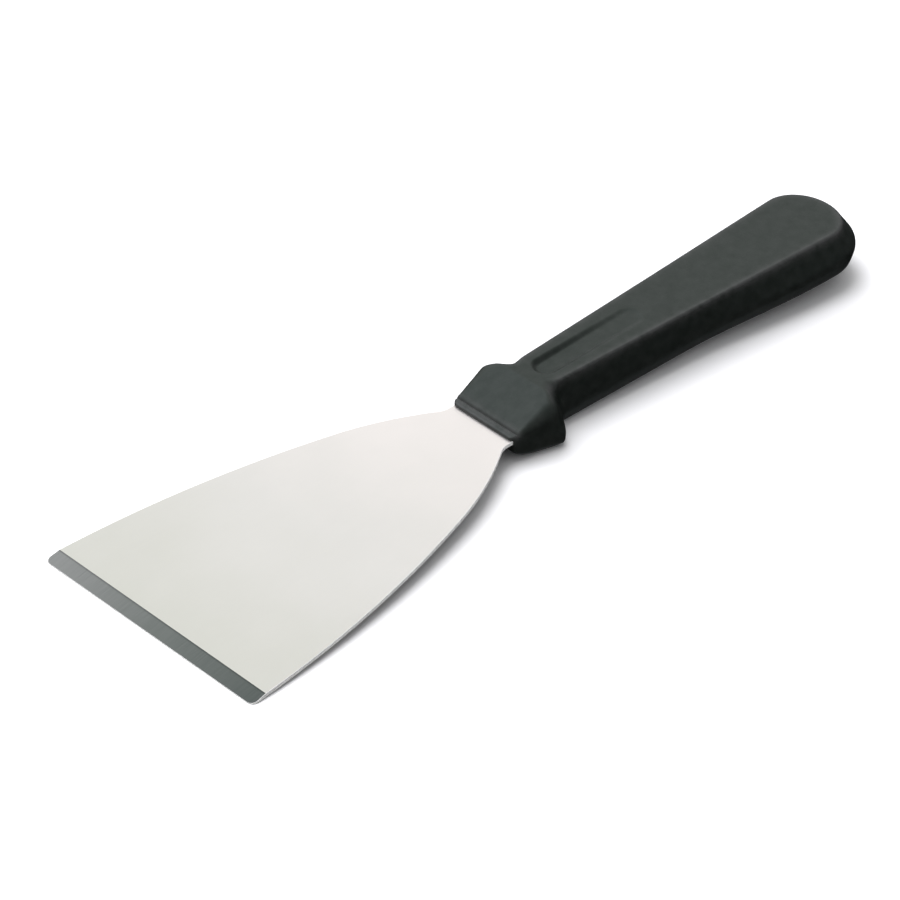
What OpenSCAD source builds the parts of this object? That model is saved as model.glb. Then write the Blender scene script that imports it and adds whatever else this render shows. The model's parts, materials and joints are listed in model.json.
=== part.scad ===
// Grill spatula: a flared steel blade with a ground front edge, and a plastic handle moulded onto its tang.
// It is drawn straight along +X, with the front edge at x = 0 and the blade's underside at z = 0.
// Each piece is then tipped about the front edge, so that the tool lies on that edge and its guard's belly.

/* [Blade] */
// Width of the front edge
blade_w = 80; // [60:1:100]
// Length of blade in front of the handle
blade_len = 121; // [100:1:150]
// Thickness of the steel sheet
blade_t = 1.2; // [0.8:0.1:2]
// Length of the ground bevel behind the front edge
bevel_len = 5; // [3:0.5:8]
// Thickness left at the front edge
edge_t = 0.25; // [0.1:0.05:0.5]
// Radius of the two front corners
corner_r = 2; // [1:0.5:5]
// Angle at which the sides leave the front corners
side_angle = 2.7; // [0:0.1:4]
// Radius of the long front stretch of each side
side_r = 370; // [340:10:600]
// Radius of the shoulder stretch of each side
shoulder_r = 105; // [90:5:130]
// Radius of the hollow between shoulder and neck
neck_r = 6; // [3:0.5:10]
// Width of the neck
neck_w = 22.4; // [18:0.1:27]
// Length of straight neck in front of the handle
neck_len = 1.5; // [1:0.5:5]

/* [Tang] */
// Depth to which the full neck width enters the handle
neck_depth = 8; // [4:0.5:10]
// Width of the tang
tang_w = 11; // [8:0.5:13.5]
// Length of the tang inside the handle
tang_len = 99; // [60:1:115]
// Number of keying holes in the tang
hole_count = 3; // [1:1:4]
// Diameter of a keying hole
hole_d = 5; // [3:0.5:7]
// Distance between keying holes
hole_pitch = 26; // [15:1:28]
// Distance from the tang's rear end to the last hole
hole_end = 12; // [8:1:18]

/* [Guard] */
// Overall width of the guard
guard_w = 31; // [29:0.5:38]
// Height of plastic above and below the blade at the guard's front lip
lip_h = 0.8; // [0.6:0.1:2]
// Width of plastic beside the neck at the lip
lip_side = 0.4; // [0.2:0.1:1]
// Length of the guard's ramps, from the lip to the grip's flat faces
ramp_len = 16; // [10:0.5:18]
// Length over which the guard narrows into the grip
guard_rear = 7; // [5:0.5:12]
// How much sooner the guard's top narrows than its sides
top_lead = 3; // [0:0.5:4]

/* [Grip] */
// Length of the whole handle
handle_len = 143; // [118:1:172]
// Height of the handle behind the guard
grip_h = 15.4; // [12:0.1:18]
// Width of the flat top behind the guard
grip_front_w = 14.2; // [13:0.1:18]
// Width of the flat top near the butt
grip_rear_w = 24.2; // [18:0.1:28]
// Distance that the sides stand out beyond the flat top, on each side
side_bulge = 1.4; // [0.5:0.1:3]
// Fall of the flat top from guard to butt
top_fall = 3.3; // [0:0.1:4]
// Distance that the widest line of the sides lies below the middle of the grip
ridge_drop = 3.1; // [0:0.1:4]

/* [Butt] */
// Overall width of the butt
butt_w = 32; // [28:0.5:38]
// Depth of the swell under the butt
butt_swell = 2; // [0:0.1:2.5]
// Length over which the grip spreads into the butt
butt_spread = 64; // [40:1:70]
// Length of the butt's rounded end
butt_round = 16; // [12:0.5:20]
// Distance from the rounded end back to the end of the flat top
top_inset = 5.5; // [2:0.5:7]

/* [Thumb rest] */
// Length of the hollow
rest_len = 41; // [30:1:50]
// Width of the hollow
rest_w = 8.6; // [6:0.1:11]
// Depth of the hollow
rest_depth = 1.2; // [0.6:0.1:1.8]
// Distance from the ramp's end to the hollow
rest_gap = 4; // [3:0.5:10]

/* [Hidden] */
mid_z = blade_t / 2;
grip_start = blade_len + ramp_len;
tool_len = blade_len + handle_len;
lip_w = neck_w + 2 * lip_side;
rest_tilt = atan((grip_h / 2 - mid_z) / grip_start);
// Largest turn between two points of an arc, in degrees
arc_step = 2;
// How far a cutting shape reaches beyond what it cuts
past = 1;
// Half the width and height of the flat in which the rounded butt ends
tip_half = 0.5;
// Distance from the guard's widest outline in to the edges of its top and of its belly
shoulder_inset = 0.8;
belly_inset = 0.4;
// Distance from the butt's widest outline in to the edge of its underside
butt_inset = 1.6;
// Distance behind the front corners at which the sides' long arcs start
side_start = 6;
// Share of the butt's rounded end that the spreading grip reaches into
spread_share = 0.5;
// Most of a side that the rounding at one of its ends may take
most = 0.45;
// Reach of the rounding on the top edges at the lip, at the guard and along the grip
lip_reach = 0.6;
guard_reach = 4.2;
grip_reach = 0.9;
// Reach of the rounding on the edges of the underside at the guard, along the grip and at the butt
belly_reach = 4;
base_reach = 1.2;
butt_reach = 3;
// Reach of the rounding on the widest line of the sides
side_reach = 2;

// Circle centres of the blade's side: long arc, hollow, and the shoulder arc that touches both
neck_start = blade_len - neck_len;
side_c = [-side_r * sin(side_angle), blade_w / 2 - side_r * cos(side_angle)];
neck_c = [neck_start, neck_w / 2 + neck_r];
shoulder_c = meeting(side_c, side_r - shoulder_r, neck_c, shoulder_r + neck_r);
corner_c = [corner_r, blade_w / 2 - corner_r * (tan(side_angle) + 1 / cos(side_angle))];

// The point at distance ra from a and rb from b, on the left of the line from a to b
function meeting(a, ra, b, rb) =
    let (d = norm(b - a), along = (ra * ra - rb * rb + d * d) / (2 * d),
         off = sqrt(max(0, ra * ra - along * along)), u = (b - a) / d)
    a + along * u + off * [-u[1], u[0]];

function heading(v) = atan2(v[1], v[0]);

function arc(c, r, from, to) =
    let (n = max(2, ceil(abs(to - from) / arc_step)))
    [for (i = [0:n]) c + r * [cos(from + (to - from) * i / n), sin(from + (to - from) * i / n)]];

function mirrored(points) = [for (i = [len(points) - 1:-1:0]) [points[i][0], -points[i][1]]];

// One side of the blade, from the front corner to the neck
function side_line() =
    let (out = heading(shoulder_c - side_c), in = heading(shoulder_c - neck_c))
    concat(
        arc(corner_c, corner_r, 180, 90 - side_angle),
        [for (p = arc(side_c, side_r, 90 - side_angle, out)) if (p[0] > side_start) p],
        arc(shoulder_c, shoulder_r, out, in + 180),
        arc(neck_c, neck_r, in, -90));

// One side of the part of the neck and tang that the handle covers
function tang_line() =
    let (step = (neck_w - tang_w) / 2, back = blade_len + neck_depth, end = blade_len + tang_len)
    concat(
        [[back - step / 2, neck_w / 2], [back + step / 2, tang_w / 2]],
        arc([end - tang_w / 2, 0], tang_w / 2, 90, 0));

module resting() {
    translate([-tool_len * cos(rest_tilt) / 2, 0, 0])
        rotate([0, -rest_tilt, 0])
            children();
}

// The stamped sheet with its tang, before the bevel is ground
module sheet() {
    half = concat(side_line(), tang_line());
    difference() {
        linear_extrude(blade_t)
            polygon(concat(half, mirrored(half)));
        for (i = [0:hole_count - 1])
            translate([blade_len + tang_len - hole_end - i * hole_pitch, 0, -past])
                cylinder(d = hole_d, h = blade_t + 2 * past, $fn = 48);
    }
}

module bevel_cut() {
    slope = (blade_t - edge_t) / bevel_len;
    above = blade_t + past;
    translate([0, blade_w, 0])
        rotate([90, 0, 0])
            linear_extrude(2 * blade_w)
                polygon([
                    [-past, edge_t - slope * past], [bevel_len, blade_t],
                    [bevel_len, above], [-past, above]]);
}

// Shape of the handle, as functions of the distance u behind its front lip
function mix(a, b, t) = a + (b - a) * t;
function share(u, from, to) = min(1, max(0, (u - from) / (to - from)));
function ease(t) = t * t * (3 - 2 * t);
// A quarter of an ellipse: steep at t = 0 and level at t = 1
function bow(t) = sqrt(1 - (1 - t) * (1 - t));
// What is left of a width at the rounded butt, which closes at the given end
function round_off(u, end) = bow(1 - share(u, handle_len - butt_round, end));

function onto_ramp(u) = share(u, 0, ramp_len);
function into_grip(u) = ease(share(u, ramp_len, ramp_len + guard_rear));
function into_butt(u) =
    let (end = handle_len - spread_share * butt_round)
    ease(share(u, end - butt_spread, end));

function guard_half(u) = mix(lip_w, guard_w, onto_ramp(u)) / 2;
function grip_half(u) = mix(grip_front_w, grip_rear_w, share(u, ramp_len, handle_len - butt_round)) / 2;
function widest(u) =
    let (rear = mix(grip_half(u) + side_bulge, butt_w / 2, into_butt(u)))
    mix(guard_half(u), rear, into_grip(u)) * round_off(u, handle_len);
function top_half(u) =
    let (front = guard_half(u) - shoulder_inset * onto_ramp(u))
    mix(front, grip_half(u), into_grip(u + top_lead)) * round_off(u, handle_len - top_inset);
function base_half(u) =
    let (front = guard_half(u) - belly_inset * onto_ramp(u),
         rear = mix(grip_half(u), butt_w / 2 - butt_inset, into_butt(u)))
    mix(front, rear, into_grip(u)) * round_off(u, handle_len - top_inset / 2);

function end_drop(u, inset) = share(u, handle_len - inset, handle_len);
function top_z(u) =
    let (fall = top_fall * share(u, ramp_len, handle_len))
    mix(mix(mid_z + lip_h, grip_h / 2, onto_ramp(u)) - fall, tip_half, end_drop(u, top_inset));
function ridge_z(u) = -ridge_drop * onto_ramp(u) * (1 - end_drop(u, top_inset));
function base_z(u) =
    let (depth = mix(mid_z + lip_h, grip_h / 2, bow(onto_ramp(u))) + butt_swell * into_butt(u))
    -mix(depth, tip_half, end_drop(u, top_inset / 2));

function top_round(u) = mix(mix(lip_reach, guard_reach, onto_ramp(u)), grip_reach, into_grip(u));
function base_round(u) =
    mix(mix(lip_reach, belly_reach, onto_ramp(u)), mix(base_reach, butt_reach, into_butt(u)), into_grip(u));

// The corner c between points a and b, softened by a curve that reaches the given distance from it
function softened(a, c, b, reach) =
    let (p = c + (a - c) * min(most, reach / norm(a - c)), q = c + (b - c) * min(most, reach / norm(b - c)))
    [p, (p + 2 * c + q) / 4, q];

// The handle's outline at u: top edge, widest line and edge of the underside, on both sides
function ring(u) =
    let (w = max(tip_half, widest(u)),
         t = max(tip_half / 2, top_half(u)),
         b = max(tip_half / 2, base_half(u)),
         corners = [[t, top_z(u)], [w, ridge_z(u)], [b, base_z(u)],
                    [-b, base_z(u)], [-w, ridge_z(u)], [-t, top_z(u)]],
         reach = [top_round(u), side_reach, base_round(u), base_round(u), side_reach, top_round(u)])
    [for (i = [0:5]) for (p = softened(corners[(i + 5) % 6], corners[i], corners[(i + 1) % 6], reach[i]))
        [blade_len + u, p[0], mid_z + p[1]]];

// Places of the rings: close together at the guard and the rounded butt, wide apart along the grip
function stations() =
    let (guard_n = 14, rear_n = 8, grip_n = 16, butt_n = 12, rear_end = ramp_len + guard_rear,
         butt_start = handle_len - butt_round)
    concat(
        [for (i = [0:guard_n - 1]) ramp_len * pow(i / guard_n, 1.5)],
        [for (i = [0:rear_n - 1]) ramp_len + guard_rear * i / rear_n],
        [for (i = [0:grip_n - 1]) mix(rear_end, butt_start, i / grip_n)],
        [for (i = [0:butt_n]) butt_start + butt_round * sin(90 * i / butt_n)]);

module loft(rings) {
    n = len(rings[0]);
    last = len(rings) - 1;
    // The patch between ring i and the next one, from their k-th point to the point after it
    function patch(i, k) =
        let (after = (k + 1) % n)
        [i * n + k, i * n + after, (i + 1) * n + after, (i + 1) * n + k];
    polyhedron(
        points = [for (r = rings) for (p = r) p],
        faces = concat(
            [[for (k = [n - 1:-1:0]) k]],
            [for (i = [0:last - 1]) for (k = [0:n - 1]) let (p = patch(i, k)) [p[0], p[2], p[3]]],
            [for (i = [0:last - 1]) for (k = [0:n - 1]) let (p = patch(i, k)) [p[0], p[1], p[2]]],
            [[for (k = [0:n - 1]) last * n + k]]));
}

// Round-bottomed hollow in the top face, parallel to it
module thumb_rest() {
    r = (rest_w * rest_w / 4 + rest_depth * rest_depth) / (2 * rest_depth);
    run = rest_len - rest_w;
    start = ramp_len + rest_gap + rest_w / 2;
    translate([blade_len + start, 0, mid_z + top_z(start) + r - rest_depth])
        rotate([0, atan(top_fall / (handle_len - ramp_len)), 0]) {
            sphere(r, $fn = 64);
            rotate([0, 90, 0])
                cylinder(r = r, h = run, $fn = 64);
            translate([run, 0, 0])
                sphere(r, $fn = 64);
        }
}

module blade() {
    color([0.86, 0.86, 0.85])
        resting()
            difference() {
                sheet();
                bevel_cut();
            }
}

// The plastic fills the tang's holes, so the sheet itself is what is left out of it
module handle() {
    color([0.13, 0.15, 0.15])
        resting()
            difference() {
                loft([for (u = stations()) ring(u)]);
                sheet();
                thumb_rest();
            }
}

blade();
handle();
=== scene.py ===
import json
import math

import bmesh
import bpy
from mathutils import Matrix, Vector
from mathutils.kdtree import KDTree


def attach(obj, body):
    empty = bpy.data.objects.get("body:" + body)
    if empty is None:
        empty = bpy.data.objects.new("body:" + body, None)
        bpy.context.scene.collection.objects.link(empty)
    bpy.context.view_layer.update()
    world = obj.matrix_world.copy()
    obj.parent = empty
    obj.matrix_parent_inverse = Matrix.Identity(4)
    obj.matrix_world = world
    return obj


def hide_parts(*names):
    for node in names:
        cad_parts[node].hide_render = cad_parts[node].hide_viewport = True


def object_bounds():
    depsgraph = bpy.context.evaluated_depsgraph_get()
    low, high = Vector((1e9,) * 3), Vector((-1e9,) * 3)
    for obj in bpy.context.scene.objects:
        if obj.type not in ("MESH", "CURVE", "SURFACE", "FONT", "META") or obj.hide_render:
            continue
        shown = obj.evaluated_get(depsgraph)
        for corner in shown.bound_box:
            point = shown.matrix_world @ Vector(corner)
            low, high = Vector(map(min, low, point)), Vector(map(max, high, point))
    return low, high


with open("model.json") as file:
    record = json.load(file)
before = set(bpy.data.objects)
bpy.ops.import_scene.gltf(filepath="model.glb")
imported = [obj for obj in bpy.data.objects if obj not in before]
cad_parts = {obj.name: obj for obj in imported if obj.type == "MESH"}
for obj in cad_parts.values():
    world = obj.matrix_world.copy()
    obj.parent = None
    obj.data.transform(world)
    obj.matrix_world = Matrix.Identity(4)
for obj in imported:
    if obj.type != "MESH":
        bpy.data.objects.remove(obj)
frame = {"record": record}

# Grill spatula: a bevelled steel blade and a moulded handle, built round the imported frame.
# The two pieces are shaped in the tool's own straight frame, in millimetres: X runs back from the
# front edge, Z = 0 is the blade's underside. place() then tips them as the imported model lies.

MM = 0.001
CAD_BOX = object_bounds()

# Blade, in millimetres
BLADE_W = 80.0
BLADE_LEN = 121.0
BLADE_T = 1.2
BEVEL_LEN = 5.0
BEVEL_GAP = 1.0  # least distance from the bevel's end to the side's next point
EDGE_T = 0.25
CORNER_R = 2.0
SIDE_ANGLE = math.radians(2.7)
SIDE_R = 370.0
SHOULDER_R = 105.0
NECK_R = 6.0
NECK_W = 22.4
NECK_LEN = 1.5
NECK_DEPTH = 8.0
NECK_HIDDEN = 1.0  # how far inside the handle the neck's straight side has a point
TANG_W = 11.0
TANG_LEN = 99.0
HOLE_D = 5.0
HOLE_PITCH = 26.0
HOLE_END = 12.0
HOLE_COUNT = 3
RIM_R = 0.16
RIM_SHARE = 0.3  # most of the sheet's height that the rounding of one rim takes
RIM_STEPS = 3
GROUND, RIM_PAINTED_HIGHLIGHT = 1, 2  # the blade's material slots, after the satin face's 0

# Handle, in millimetres: u is the distance behind its front lip, z is above the blade's middle
HANDLE_LEN = 143.0
LIP_SIDE = 0.4
LIP_W = NECK_W + 2 * LIP_SIDE
LIP_H = 0.8
LIP_CORNER = 1.8
LIP_ROUND = 0.3
RAMP_LEN = 16.0
GUARD_W = 31.0
GUARD_REAR = 7.0
TOP_LEAD = 3.0
SHOULDER_INSET = 0.8
BELLY_INSET = 0.4
GRIP_H = 15.4
GRIP_FRONT_W = 14.2
GRIP_REAR_W = 24.2
SIDE_BULGE = 1.4
TOP_FALL = 3.3
RIDGE_DROP = 3.1
BUTT_W = 32.0
BUTT_SWELL = 2.0
BUTT_SPREAD = 64.0
BUTT_ROUND = 16.0
SPREAD_SHARE = 0.5  # share of the butt's round end that the spreading grip reaches into
BUTT_INSET = 1.6
TOP_INSET = 5.5

# How far the rounding reaches from each edge of the handle
LIP_REACH = 0.5
GUARD_REACH = 4.6
GRIP_REACH = 0.8
BELLY_REACH = 4.0
BASE_REACH = 1.2
BUTT_REACH = 3.2
SIDE_REACH = 1.6
MOST = 0.48  # most of a side that the rounding at one of its ends may take
LEAST_PULL = 0.05  # least pull of a corner on the arc that rounds it
TOP_GUIDE, BASE_GUIDE = 14.0, 9.0  # inward sides of the top edge's and the underside edge's rounding

# Thumb rest
REST_LEN = 41.0
REST_W = 8.6
REST_DEPTH = 1.2
REST_GAP = 4.0
REST_START = RAMP_LEN + REST_GAP
REST_FLAT = 0.55  # share of its half-width that is flat floor
REST_FADE = 0.2  # share of its depth that is left at the butt end

# Fine bead, groove and bead behind the lip, as (height, place, width). They start at the height of
# the blade's middle and fade in over the next millimetre
LIP_LINES = ((0.14, 1.25, 0.4), (-0.40, 1.95, 0.28), (0.13, 2.9, 0.4))
LIP_LINES_END = 4.2
LIP_LINES_FADE = 1.0

# Mesh of the handle: rings as (start, end, count), and points across its faces
RINGS = (
    (0, LIP_ROUND, 5), (LIP_ROUND, LIP_LINES_END, 32), (LIP_LINES_END, 12, 16),
    (12, 24, 34), (24, 64, 84),
)
BUTT_RINGS = 40
BUTT_TURNS = 30
TOP_POINTS, UNDER_POINTS, LIP_POINTS = 56, 20, 24

# Reach of the painted highlight along the handle's edges, and the grinding burr, in metres
HIGHLIGHT_REACH = 1.5 * MM
BURR = 0.7 * MM

# Angles past which an edge stays sharp, in degrees
BLADE_SHARP = 9
HANDLE_SHARP = 35

# Camera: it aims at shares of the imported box's length and width, and at a height. Angles are in
# degrees, and AIM_Z and the distance in metres
AIM_X, AIM_Y, AIM_Z = 0.411, 0.495, 0.005
CAMERA_AZIMUTH = -46.03
CAMERA_ELEVATION = 36.59
CAMERA_ROLL = 2.64
CAMERA_DISTANCE = 1.3407

MID_Z = BLADE_T / 2
TOP_SLOPE = -TOP_FALL / (HANDLE_LEN - RAMP_LEN)
BUTT_START = HANDLE_LEN - BUTT_ROUND


# ---------------------------------------------------------------- helpers

def share(u, start, end):
    return min(1.0, max(0.0, (u - start) / (end - start)))


def ease(t):
    return t * t * (3 - 2 * t)


def bow(t):
    """A quarter of an ellipse: steep at t = 0 and level at t = 1."""
    return math.sqrt(max(0.0, 1 - (1 - t) ** 2))


def mix(a, b, t):
    return a + (b - a) * t


def spread(start, end, count):
    """count values from start up to, and without, end."""
    return [start + (end - start) * i / count for i in range(count)]


def tool_matrix():
    """From the tool's straight frame, in millimetres, to the row frame, in metres."""
    out = frame["record"]["mounts"][0]["axis"]
    tilt = math.atan2(out[0], -out[2])
    front = Vector((CAD_BOX[0].x, 0, 0))
    return Matrix.Translation(front) @ Matrix.Rotation(-tilt, 4, "Y") @ Matrix.Scale(MM, 4)


def place(bm, name, *materials):
    """Turns a bmesh in the tool's frame into an object in the row frame."""
    bmesh.ops.recalc_face_normals(bm, faces=bm.faces)
    mesh = bpy.data.meshes.new(name)
    for material in materials:
        mesh.materials.append(material)
    bm.to_mesh(mesh)
    bm.free()
    mesh.transform(tool_matrix())
    obj = bpy.data.objects.new(name, mesh)
    bpy.context.scene.collection.objects.link(obj)
    return obj


def cut(obj, cutter):
    """Takes the cutter's space out of an object, with the modifier applied."""
    modifier = obj.modifiers.new("Boolean", "BOOLEAN")
    modifier.operation, modifier.solver, modifier.object = "DIFFERENCE", "EXACT", cutter
    graph = bpy.context.evaluated_depsgraph_get()
    mesh = bpy.data.meshes.new_from_object(obj.evaluated_get(graph))
    obj.modifiers.clear()
    old, obj.data = obj.data, mesh
    bpy.data.meshes.remove(old)
    mesh.name = obj.name


# ---------------------------------------------------------------- blade

def arc(centre, radius, start, end, step):
    count = max(2, math.ceil(abs(end - start) * radius / step))
    angles = [mix(start, end, i / count) for i in range(count + 1)]
    return [(centre[0] + radius * math.cos(a), centre[1] + radius * math.sin(a)) for a in angles]


def meeting(a, ra, b, rb):
    """The point at distance ra from a and rb from b, on the left of the line from a to b."""
    d = math.dist(a, b)
    foot = (ra * ra - rb * rb + d * d) / (2 * d)
    off = math.sqrt(max(0.0, ra * ra - foot * foot))
    ux, uy = (b[0] - a[0]) / d, (b[1] - a[1]) / d
    return a[0] + foot * ux - off * uy, a[1] + foot * uy + off * ux


def heading(a, b):
    return math.atan2(b[1] - a[1], b[0] - a[0])


def blade_side():
    """Half the blade's outline, from the front edge's corner to the tang's rear end."""
    quarter = math.pi / 2
    side = (-SIDE_R * math.sin(SIDE_ANGLE), BLADE_W / 2 - SIDE_R * math.cos(SIDE_ANGLE))
    neck = (BLADE_LEN - NECK_LEN, NECK_W / 2 + NECK_R)
    shoulder = meeting(side, SIDE_R - SHOULDER_R, neck, SHOULDER_R + NECK_R)
    corner = (CORNER_R, BLADE_W / 2 - CORNER_R * (math.tan(SIDE_ANGLE) + 1 / math.cos(SIDE_ANGLE)))
    out, hollow = heading(side, shoulder), heading(neck, shoulder)
    taper = (NECK_W - TANG_W) / 2
    back, end = BLADE_LEN + NECK_DEPTH, BLADE_LEN + TANG_LEN
    at_bevel = side[1] + math.sqrt(SIDE_R ** 2 - (BEVEL_LEN - side[0]) ** 2)
    long_side = arc(side, SIDE_R, quarter - SIDE_ANGLE, out, step=2.0)
    return (
        arc(corner, CORNER_R, 2 * quarter, quarter - SIDE_ANGLE, step=0.25)
        + [(BEVEL_LEN, at_bevel)]
        + [p for p in long_side if p[0] > BEVEL_LEN + BEVEL_GAP]
        + arc(shoulder, SHOULDER_R, out, hollow + math.pi, step=1.5)[1:]
        + arc(neck, NECK_R, hollow, -quarter, step=0.5)[1:]
        + [(BLADE_LEN + NECK_HIDDEN, NECK_W / 2), (back - taper / 2, NECK_W / 2)]
        + [(back + taper / 2, TANG_W / 2)]
        + arc((end - TANG_W / 2, 0), TANG_W / 2, quarter, 0, step=0.7)
    )


def blade_height(x):
    return min(BLADE_T, EDGE_T + (BLADE_T - EDGE_T) * x / BEVEL_LEN)


def outline_normals(points):
    """Outward unit normals of a closed outline that runs clockwise."""
    normals = []
    for i, p in enumerate(points):
        before, after = points[i - 1], points[(i + 1) % len(points)]
        n = Vector((before[1] - after[1], after[0] - before[0])).normalized()
        normals.append(n)
    return normals


def blade_mesh():
    """The stamped sheet: its rims are rounded, and its front edge is ground on the upper side."""
    half = blade_side()
    outline = half + [(x, -y) for x, y in reversed(half[:-1])]
    normals = outline_normals(outline)
    bm = bmesh.new()
    levels = []
    turns = [math.pi / 2 * k / RIM_STEPS for k in range(RIM_STEPS + 1)]
    for upper in (False, True):
        for turn in turns if not upper else reversed(turns):
            ring = []
            for (x, y), n in zip(outline, normals):
                r = min(RIM_R, RIM_SHARE * blade_height(x))
                inset = r * (1 - math.sin(turn))
                px, py = x - n.x * inset, y - n.y * inset
                rise = r * (1 - math.cos(turn))
                ring.append(bm.verts.new((px, py, blade_height(px) - rise if upper else rise)))
            levels.append(ring)
    count = len(outline)
    for low, high in zip(levels, levels[1:]):
        for i in range(count):
            j = (i + 1) % count
            face = bm.faces.new((low[i], low[j], high[j], high[i]))
            face.material_index = RIM_PAINTED_HIGHLIGHT
    bm.faces.new(levels[0])
    top = levels[-1]
    ends = [i for i, p in enumerate(outline) if abs(p[0] - BEVEL_LEN) < 1e-6]
    near, far = min(ends), max(ends)
    ground = bm.faces.new(top[far:] + top[:near + 1])
    ground.material_index = GROUND
    bm.faces.new(top[near:far + 1])
    return bm


def hole_cutters():
    """One mesh of round cutters for the keying holes in the tang."""
    bm = bmesh.new()
    for i in range(HOLE_COUNT):
        x = BLADE_LEN + TANG_LEN - HOLE_END - i * HOLE_PITCH
        spot = Matrix.Translation((x, 0, MID_Z))
        bmesh.ops.create_cone(bm, cap_ends=True, segments=48, radius1=HOLE_D / 2, radius2=HOLE_D / 2,
                              depth=4 * BLADE_T, matrix=spot)
    return bm


# ---------------------------------------------------------------- handle

def into_grip(u):
    return ease(share(u, RAMP_LEN, RAMP_LEN + GUARD_REAR))


def into_butt(u):
    end = HANDLE_LEN - SPREAD_SHARE * BUTT_ROUND
    return ease(share(u, end - BUTT_SPREAD, end))


def on_ramp(u):
    return share(u, 0, RAMP_LEN)


def lip_cut(u):
    """What the rounding of the lip takes off each width, and off each height."""
    return LIP_CORNER * (1 - bow(share(u, 0, LIP_CORNER))), LIP_ROUND * (1 - bow(share(u, 0, LIP_ROUND)))


def grip_half(u):
    return mix(GRIP_FRONT_W, GRIP_REAR_W, share(u, RAMP_LEN, BUTT_START)) / 2


def corners(u):
    """Half-width and height of the top edge, of the widest line and of the underside's edge."""
    guard = mix(LIP_W, GUARD_W, on_ramp(u)) / 2
    rear = mix(grip_half(u) + SIDE_BULGE, BUTT_W / 2, into_butt(u))
    base_rear = mix(grip_half(u), BUTT_W / 2 - BUTT_INSET, into_butt(u))
    narrow, low = lip_cut(u)
    top_z = mix(MID_Z + LIP_H, GRIP_H / 2, on_ramp(u)) + TOP_SLOPE * max(0.0, u - RAMP_LEN)
    base_z = mix(MID_Z + LIP_H, GRIP_H / 2, bow(on_ramp(u))) + BUTT_SWELL * into_butt(u)
    top = mix(guard - SHOULDER_INSET * on_ramp(u), grip_half(u), into_grip(u + TOP_LEAD))
    widest = mix(guard, rear, into_grip(u))
    base = mix(guard - BELLY_INSET * on_ramp(u), base_rear, into_grip(u))
    return (
        (top - narrow, top_z - low),
        (widest - narrow, -RIDGE_DROP * on_ramp(u)),
        (base - narrow, low - base_z),
    )


def reaches(u):
    """How far the rounding reaches from each of the three edges."""
    guard_base, grip_base = mix(LIP_REACH, BELLY_REACH, on_ramp(u)), mix(BASE_REACH, BUTT_REACH, into_butt(u))
    return (
        mix(mix(LIP_REACH, GUARD_REACH, on_ramp(u)), GRIP_REACH, into_grip(u)),
        SIDE_REACH,
        mix(guard_base, grip_base, into_grip(u)),
    )


def rounded(before, corner, after, reach, count):
    """Points of an arc that softens a corner. It meets each side reach away from the corner, or less
    on a short side, and is circular where the two distances are the same."""
    a, b = before - corner, after - corner
    p = corner + a * min(reach / a.length, MOST)
    q = corner + b * min(reach / b.length, MOST)
    weight = max(LEAST_PULL, math.sin(a.angle(b) / 2))
    points = []
    for i in range(count + 1):
        t = i / count
        w0, w1, w2 = (1 - t) ** 2, 2 * t * (1 - t) * weight, t * t
        points.append((p * w0 + corner * w1 + q * w2) / (w0 + w1 + w2))
    return points


def straight(a, b, count):
    """Points between a and b, without either of them."""
    return [a.lerp(b, (i + 1) / (count + 1)) for i in range(count)]


def half_profile(u, turn):
    """One side of the handle's surface, from the top face round to the underside.

    Along the grip the profile lies across the handle. At the butt it swings round by turn, so that
    the top edge, the widest line and the underside's edge each close in their own round end."""
    if turn is None:
        t, r, b = [Vector((u, y, z)) for y, z in corners(u)]
        inward_top = inward_base = Vector((0, -1, 0))
    else:
        ends = (BUTT_ROUND - TOP_INSET, BUTT_ROUND, BUTT_ROUND - TOP_INSET / 2)
        points = []
        for k, run in enumerate(ends):
            x = BUTT_START + run * math.sin(turn)
            y, z = corners(x)[k]
            points.append(Vector((x, y * math.cos(turn), z)))
        t, r, b = points
        inward_top = Vector((-(t.x - BUTT_START) / ends[0] ** 2, -t.y / grip_half(u) ** 2, 0))
        inward_top.z = inward_top.x * TOP_SLOPE
        inward_base = Vector((inward_top.x, inward_top.y, 0))
    top_reach, ridge_reach, base_reach = reaches(u)
    top = rounded(t + inward_top.normalized() * TOP_GUIDE, t, r, top_reach, count=14)
    ridge = rounded(t, r, b, ridge_reach, count=6)
    base = rounded(r, b, b + inward_base.normalized() * BASE_GUIDE, base_reach, count=10)
    upper, lower = straight(top[-1], ridge[0], count=4), straight(ridge[-1], base[0], count=3)
    return top + upper + ridge + lower + base


def hollow_depth(u, y):
    """Depth of the thumb rest: a flat floor between two soft slopes, which fades towards the butt."""
    start, end = REST_START + REST_W / 2, REST_START + REST_LEN - REST_W / 2
    nearest = min(end, max(start, u))
    off = math.hypot(u - nearest, y) / (REST_W / 2)
    fade = mix(1.0, REST_FADE, share(u, start, end + REST_W / 2))
    return REST_DEPTH * fade * (1 - ease(share(off, REST_FLAT, 1.0)))


def lip_relief(u):
    """Height of the fine bead, groove and bead that run across the guard just behind its lip."""
    return sum(height * math.exp(-((u - spot) / width) ** 2) for height, spot, width in LIP_LINES)


def handle_ring(u, turn):
    """A closed ring of points: over the top, down the near side, under the handle and back up."""
    half = half_profile(u, turn)
    near = [Vector((p.x, -p.y, p.z)) for p in half]
    top = straight(half[0], near[0], TOP_POINTS)
    ring = top + near + straight(near[-1], half[-1], UNDER_POINTS) + list(reversed(half))
    for k in range(TOP_POINTS):
        ring[k].z -= hollow_depth(ring[k].x, ring[k].y)
    for p in ring:
        if p.z > 0:
            p.z += lip_relief(p.x) * share(p.z, 0, LIP_LINES_FADE)
    return [Vector((BLADE_LEN + p.x, p.y, MID_Z + p.z)) for p in ring]


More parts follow.
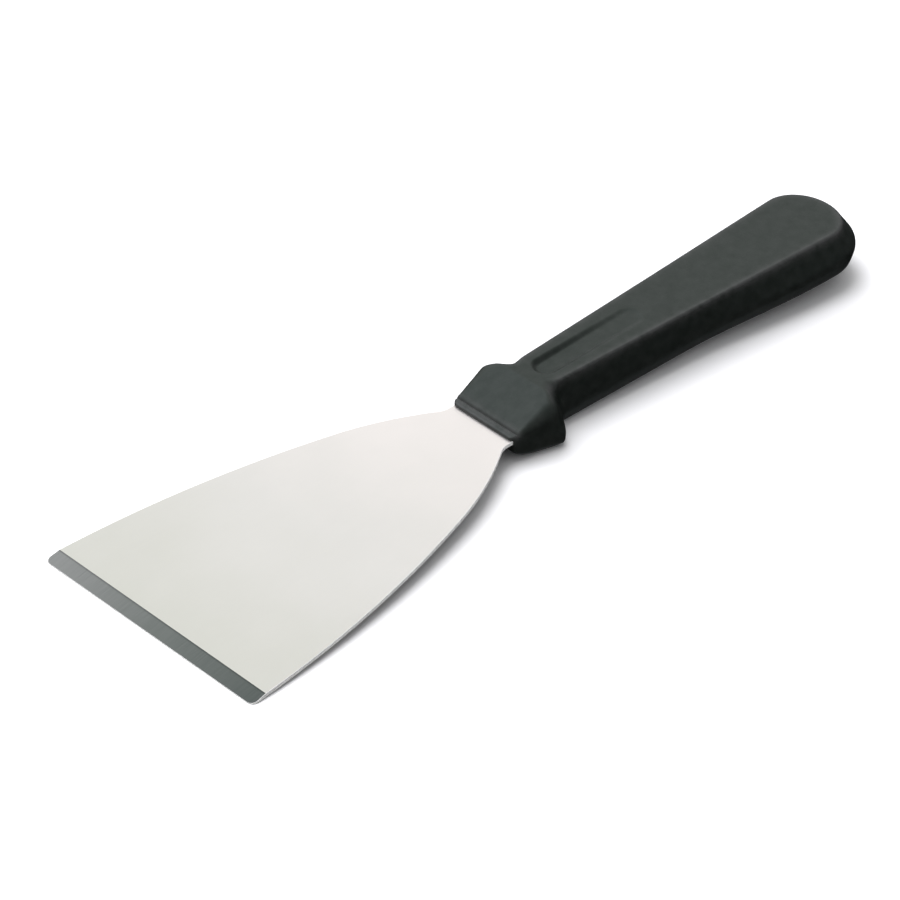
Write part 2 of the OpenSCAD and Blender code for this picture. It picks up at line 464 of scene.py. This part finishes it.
def handle_stations():
    """Places of the rings, as (distance behind the lip, turn round the butt)."""
    stretches = [*RINGS, (RINGS[-1][1], BUTT_START, BUTT_RINGS)]
    places = [u for stretch in stretches for u in spread(*stretch)]
    turns = [math.pi / 2 * i / BUTT_TURNS for i in range(BUTT_TURNS + 1)]
    return [(u, None) for u in places] + [(BUTT_START, turn) for turn in turns]


def handle_mesh():
    bm = bmesh.new()
    rings = [[bm.verts.new(p) for p in handle_ring(u, turn)] for u, turn in handle_stations()]
    count = len(rings[0])
    for ring, following in zip(rings, rings[1:]):
        for i in range(count):
            j = (i + 1) % count
            bm.faces.new((ring[i], following[i], following[j], ring[j]))
    bm.faces.new(rings[0])
    bmesh.ops.remove_doubles(bm, verts=bm.verts, dist=1e-4)
    bmesh.ops.dissolve_degenerate(bm, edges=bm.edges, dist=1e-5)
    return bm


# ---------------------------------------------------------------- materials

def nodes_of(material):
    material.use_nodes = True
    tree = material.node_tree
    return tree, tree.nodes["Principled BSDF"]


def add(tree, kind, **values):
    """A node with its properties and inputs set: inputs are given by name, with _ for a space."""
    node = tree.nodes.new(kind)
    for key, value in values.items():
        if hasattr(node, key):
            setattr(node, key, value)
        else:
            node.inputs[key.replace("_", " ")].default_value = value
    return node


def stretched(tree, scale):
    """Object coordinates, scaled apart along X, Y and Z."""
    coords = add(tree, "ShaderNodeTexCoord")
    mapping = add(tree, "ShaderNodeMapping", Scale=scale)
    tree.links.new(coords.outputs["Object"], mapping.inputs["Vector"])
    return mapping.outputs["Vector"]


def noise_at(tree, vector, scale, detail, roughness=0.55):
    node = add(tree, "ShaderNodeTexNoise", Scale=scale, Detail=detail, Roughness=roughness)
    tree.links.new(vector, node.inputs["Vector"])
    return node.outputs["Fac"]


def ramp(tree, factor, stops):
    """A colour ramp: stops are (place, colour)."""
    node = add(tree, "ShaderNodeValToRGB")
    elements = node.color_ramp.elements
    while len(elements) < len(stops):
        elements.new(0.5)
    for element, (spot, colour) in zip(elements, stops):
        element.position = spot
        element.color = (*colour, 1)
    tree.links.new(factor, node.inputs["Fac"])
    return node.outputs["Color"]


def ranged(tree, factor, low, high, start=0.0, end=1.0):
    """Factor from start to end becomes low to high."""
    node = add(tree, "ShaderNodeMapRange", From_Min=start, From_Max=end, To_Min=low, To_Max=high)
    tree.links.new(factor, node.inputs["Value"])
    return node.outputs["Result"]


def bump(tree, height, strength, distance):
    node = add(tree, "ShaderNodeBump", Strength=strength, Distance=distance)
    tree.links.new(height, node.inputs["Height"])
    return node.outputs["Normal"]


def along(tree, axis, start, end):
    """A factor that runs from 0 to 1 between two places along an axis of the row frame."""
    coords = add(tree, "ShaderNodeTexCoord")
    split = add(tree, "ShaderNodeSeparateXYZ")
    tree.links.new(coords.outputs["Object"], split.inputs[0])
    return ranged(tree, split.outputs[axis], 0, 1, start, end)


def scaled(tree, colour, factor):
    node = add(tree, "ShaderNodeVectorMath", operation="SCALE")
    tree.links.new(colour, node.inputs["Vector"])
    if isinstance(factor, float):
        node.inputs["Scale"].default_value = factor
    else:
        tree.links.new(factor, node.inputs["Scale"])
    return node.outputs["Vector"]


def blend(tree, a, b, weight):
    """a and b weighed together: weight is b's share."""
    node = add(tree, "ShaderNodeMix")
    node.inputs["Factor"].default_value = weight
    tree.links.new(a, node.inputs["A"])
    tree.links.new(b, node.inputs["B"])
    return node.outputs["Result"]


def satin_steel():
    """Rolled sheet with a fine satin grain along the tool, and painted shade: duller and greener towards the
    edge.
    """
    material = bpy.data.materials.new("satin_steel")
    tree, shader = nodes_of(material)
    shader.inputs["Metallic"].default_value = 1.0
    clouds = noise_at(tree, stretched(tree, (1, 1, 1)), scale=26, detail=5)
    grain = noise_at(tree, stretched(tree, (60, 1400, 1400)), scale=1, detail=4, roughness=0.7)
    # Painted shade: the colour runs from dark at the front edge to pale at the neck, as the light falls along
    # the blade
    rise = along(tree, "X", CAD_BOX[0].x, CAD_BOX[0].x + BLADE_LEN * MM)
    tone = blend(tree, rise, clouds, weight=0.3)
    stops = [(0.1, (0.63, 0.635, 0.56)), (0.5, (0.75, 0.74, 0.69)), (0.85, (0.89, 0.85, 0.805))]
    colour = ramp(tree, tone, stops)
    tree.links.new(colour, shader.inputs["Base Color"])
    tree.links.new(ranged(tree, grain, 0.30, 0.46), shader.inputs["Roughness"])
    tree.links.new(bump(tree, grain, strength=0.3, distance=0.00001), shader.inputs["Normal"])
    return material


def ground_steel():
    """The ground bevel: a painted dark reflection, paler towards +Y, with faint grinding lines square to the
    edge and a dark burr behind.
    """
    material = bpy.data.materials.new("ground_steel")
    tree, shader = nodes_of(material)
    shader.inputs["Metallic"].default_value = 1.0
    lines = noise_at(tree, stretched(tree, (60, 4200, 100)), scale=1, detail=4, roughness=0.8)
    # Painted reflection: the bevel's colour grows paler towards +Y
    rise = along(tree, "Y", CAD_BOX[0].y, CAD_BOX[1].y)
    tone = blend(tree, lines, rise, weight=0.45)
    # These stops paint the bevel far darker than the face's steel: a painted dark reflection
    stops = [(0.2, (0.068, 0.080, 0.070)), (0.5, (0.135, 0.148, 0.130)), (0.8, (0.25, 0.255, 0.235))]
    colour = ramp(tree, tone, stops)
    end = CAD_BOX[0].x + BEVEL_LEN * MM
    burr = ranged(tree, along(tree, "X", end - BURR, end), low=1.0, high=0.45)
    colour = scaled(tree, colour, burr)
    tree.links.new(colour, shader.inputs["Base Color"])
    tree.links.new(ranged(tree, lines, 0.30, 0.48), shader.inputs["Roughness"])
    tree.links.new(bump(tree, lines, strength=0.5, distance=0.00002), shader.inputs["Normal"])
    return material


def sheared_rim_painted_highlight():
    """The blade's rim: rough and torn in fine upright streaks as the press left it, and painted pale as a
    highlight.
    """
    material = bpy.data.materials.new("sheared_rim_painted_highlight")
    tree, shader = nodes_of(material)
    # The low metallic value and the pale stops paint a light line along the rim: a painted highlight
    shader.inputs["Metallic"].default_value = 0.35
    streaks = noise_at(tree, stretched(tree, (1500, 1500, 120)), scale=1, detail=3, roughness=0.7)
    colour = ramp(tree, streaks, [(0.3, (0.74, 0.74, 0.71)), (0.7, (0.90, 0.90, 0.87))])
    tree.links.new(colour, shader.inputs["Base Color"])
    tree.links.new(ranged(tree, streaks, 0.42, 0.6), shader.inputs["Roughness"])
    tree.links.new(bump(tree, streaks, strength=0.4, distance=0.00002), shader.inputs["Normal"])
    return material


def handle_plastic():
    """Dark moulded plastic with a fine spark-eroded texture, and a painted highlight: paler along its top
    edges and lip.
    """
    material = bpy.data.materials.new("handle_plastic")
    tree, shader = nodes_of(material)
    shader.inputs["Specular Tint"].default_value = (0.86, 1.0, 0.87, 1)
    even = stretched(tree, (1, 1, 1))
    clouds = noise_at(tree, even, scale=320, detail=4, roughness=0.65)
    pits = noise_at(tree, even, scale=2600, detail=2, roughness=0.6)
    body = ramp(tree, clouds, [(0.3, (0.005, 0.007, 0.006)), (0.7, (0.013, 0.015, 0.014))])
    # Painted highlight: near the top edges and lip the colour is mixed paler, broken up by the clouds
    edge_highlight = add(tree, "ShaderNodeAttribute", attribute_name="edge_highlight")
    broken = add(tree, "ShaderNodeMath", operation="MULTIPLY")
    tree.links.new(edge_highlight.outputs["Fac"], broken.inputs[0])
    tree.links.new(ranged(tree, clouds, 0.4, 1.0, start=0.3, end=0.6), broken.inputs[1])
    colour = add(tree, "ShaderNodeMix", data_type="RGBA")
    tree.links.new(broken.outputs["Value"], colour.inputs["Factor"])
    tree.links.new(body, colour.inputs[6])
    colour.inputs[7].default_value = (0.036, 0.035, 0.036, 1)
    tree.links.new(colour.outputs[2], shader.inputs["Base Color"])
    tree.links.new(ranged(tree, pits, 0.42, 0.56), shader.inputs["Roughness"])
    tree.links.new(bump(tree, pits, strength=0.5, distance=0.00004), shader.inputs["Normal"])
    return material


# ---------------------------------------------------------------- stage, light and camera

def make_floor():
    bm = bmesh.new()
    bmesh.ops.create_grid(bm, x_segments=1, y_segments=1, size=6.0)
    mesh = bpy.data.meshes.new("floor")
    bm.to_mesh(mesh)
    bm.free()
    floor = bpy.data.objects.new("floor", mesh)
    bpy.context.scene.collection.objects.link(floor)
    material = bpy.data.materials.new("floor")
    shader = nodes_of(material)[1]
    shader.inputs["Base Color"].default_value = (0.92, 0.92, 0.92, 1)
    shader.inputs["Roughness"].default_value = 0.9
    mesh.materials.append(material)
    floor.visible_glossy = False


def softbox(name, azimuth, elevation, distance, size, power):
    """A soft light that faces the tool, and that shows in no reflection: those come from the room.

    The azimuth is where it stands, turned from +X towards +Y."""
    a, e = math.radians(azimuth), math.radians(elevation)
    back = Vector((math.cos(a) * math.cos(e), math.sin(a) * math.cos(e), math.sin(e)))
    light = bpy.data.lights.new(name, "AREA")
    light.shape = "RECTANGLE"
    light.size, light.size_y = size
    light.energy = power
    obj = bpy.data.objects.new(name, light)
    obj.location = back * distance
    obj.rotation_mode = "QUATERNION"
    obj.rotation_quaternion = back.to_track_quat("Z", "Y")
    obj.visible_glossy = False
    bpy.context.scene.collection.objects.link(obj)


def facing(tree, room, direction, start, end):
    """How much the room's surface lies towards a direction: 0 at the cosine start, 1 at end."""
    node = add(tree, "ShaderNodeVectorMath", operation="DOT_PRODUCT")
    node.inputs[1].default_value = direction
    tree.links.new(room, node.inputs[0])
    return ranged(tree, node.outputs["Value"], 0, 1, start, end)


def make_world():
    """A studio room: pale walls behind the tool, a cool window high behind it, and nearly dark below,
    but for the light that a pale table throws back up."""
    world = bpy.data.worlds.new("studio")
    world.use_nodes = True
    tree = world.node_tree
    room = add(tree, "ShaderNodeTexCoord").outputs["Generated"]
    height = add(tree, "ShaderNodeSeparateXYZ")
    tree.links.new(room, height.inputs[0])
    behind = facing(tree, room, (0.1, 0.95, 0.3), start=0.0, end=0.72)
    walls = ramp(tree, behind, [(0, (0.22, 0.22, 0.23)), (1, (1, 1, 1))])
    high = facing(tree, room, (-0.15, 0.5, 0.85), start=0.8, end=1.0)
    window = ramp(tree, high, [(0, (0, 0, 0)), (1, (0.8, 0.8, 1))])
    both = add(tree, "ShaderNodeVectorMath", operation="ADD")
    tree.links.new(walls, both.inputs[0])
    tree.links.new(scaled(tree, window, factor=1.3), both.inputs[1])
    above = ranged(tree, height.outputs["Z"], low=0.025, high=1.0, start=-0.1, end=0.3)
    low = facing(tree, room, (0.3, -0.14, -0.94), start=0.9, end=1.0)
    table = ramp(tree, low, [(0, (0, 0, 0)), (1, (0.4, 0.42, 0.44))])
    light = add(tree, "ShaderNodeVectorMath", operation="ADD")
    tree.links.new(scaled(tree, both.outputs["Vector"], above), light.inputs[0])
    tree.links.new(table, light.inputs[1])
    tree.links.new(light.outputs["Vector"], tree.nodes["Background"].inputs["Color"])
    bpy.context.scene.world = world


def make_camera():
    """A long lens from the front left, at the photograph's viewing angle."""
    low, high = CAD_BOX
    aim = Vector((mix(low.x, high.x, AIM_X), mix(low.y, high.y, AIM_Y), AIM_Z))
    azimuth, elevation = math.radians(CAMERA_AZIMUTH), math.radians(CAMERA_ELEVATION)
    roll = Matrix.Rotation(math.radians(CAMERA_ROLL), 3, "Z").to_quaternion()
    back = Vector((
        math.sin(azimuth) * math.cos(elevation),
        -math.cos(azimuth) * math.cos(elevation),
        math.sin(elevation),
    ))
    camera = bpy.data.cameras.new("camera")
    camera.lens, camera.sensor_width = 200, 36
    camera.clip_start, camera.clip_end = 0.05, 50
    obj = bpy.data.objects.new("camera", camera)
    obj.location = aim + back * CAMERA_DISTANCE
    obj.rotation_mode = "QUATERNION"
    obj.rotation_quaternion = back.to_track_quat("Z", "Y") @ roll
    bpy.context.scene.collection.objects.link(obj)
    bpy.context.scene.camera = obj


# ---------------------------------------------------------------- assembly

def smooth(obj, angle):
    """Shades a mesh smooth, but for edges past the angle in degrees, and keeps its large faces flat."""
    bm = bmesh.new()
    bm.from_mesh(obj.data)
    for face in bm.faces:
        face.smooth = True
    for edge in bm.edges:
        edge.smooth = edge.calc_face_angle(0) < math.radians(angle)
    bm.to_mesh(obj.data)
    bm.free()
    normals = obj.modifiers.new("WeightedNormal", "WEIGHTED_NORMAL")
    normals.keep_sharp = True
    normals.weight = 80


def highlight_edge():
    """Points along the lip and round the top face, where the handle is painted paler as a highlight."""
    points = []
    for u, turn in handle_stations():
        if turn is not None:
            u += (BUTT_ROUND - TOP_INSET) * math.sin(turn)
        y, z = corners(u)[0]
        if turn is not None:
            across = [y * math.cos(turn), -y * math.cos(turn)]
        elif u < LIP_CORNER:
            across = spread(-LIP_W / 2, LIP_W / 2, LIP_POINTS)
        elif u > RAMP_LEN:
            across = [y, -y]
        else:
            across = []
        points += [Vector((BLADE_LEN + u, off, MID_Z + z)) for off in across]
    return points


def mark_edge_highlight(obj):
    """Gives each point its nearness to the edge points, for the plastic to paint a paler highlight there."""
    edge = highlight_edge()
    tree = KDTree(len(edge))
    for i, point in enumerate(edge):
        tree.insert(tool_matrix() @ point, i)
    tree.balance()
    layer = obj.data.attributes.new("edge_highlight", "FLOAT", "POINT")
    for vertex, entry in zip(obj.data.vertices, layer.data):
        distance = tree.find(vertex.co)[2]
        entry.value = math.exp(-(distance / HIGHLIGHT_REACH) ** 2)


def make_tool():
    blade = place(blade_mesh(), "blade_steel", satin_steel(), ground_steel(), sheared_rim_painted_highlight())
    cutters = place(hole_cutters(), "cutters")
    cut(blade, cutters)
    bpy.data.objects.remove(cutters)
    handle = place(handle_mesh(), "handle_moulding", handle_plastic())
    cut(handle, blade)
    mark_edge_highlight(handle)
    smooth(blade, BLADE_SHARP)
    smooth(handle, HANDLE_SHARP)
    for obj, node, slot in ((blade, "blade", "blade_steel"), (handle, "handle", "handle_plastic")):
        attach(obj, "root")
        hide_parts(node)


make_camera()
make_world()
make_floor()
softbox("key", azimuth=100, elevation=66, distance=1.6, size=(1.5, 1.5), power=27)
softbox("fill", azimuth=250, elevation=62, distance=1.6, size=(2, 2), power=7)
make_tool()

bpy.context.scene.view_settings.view_transform = "Standard"
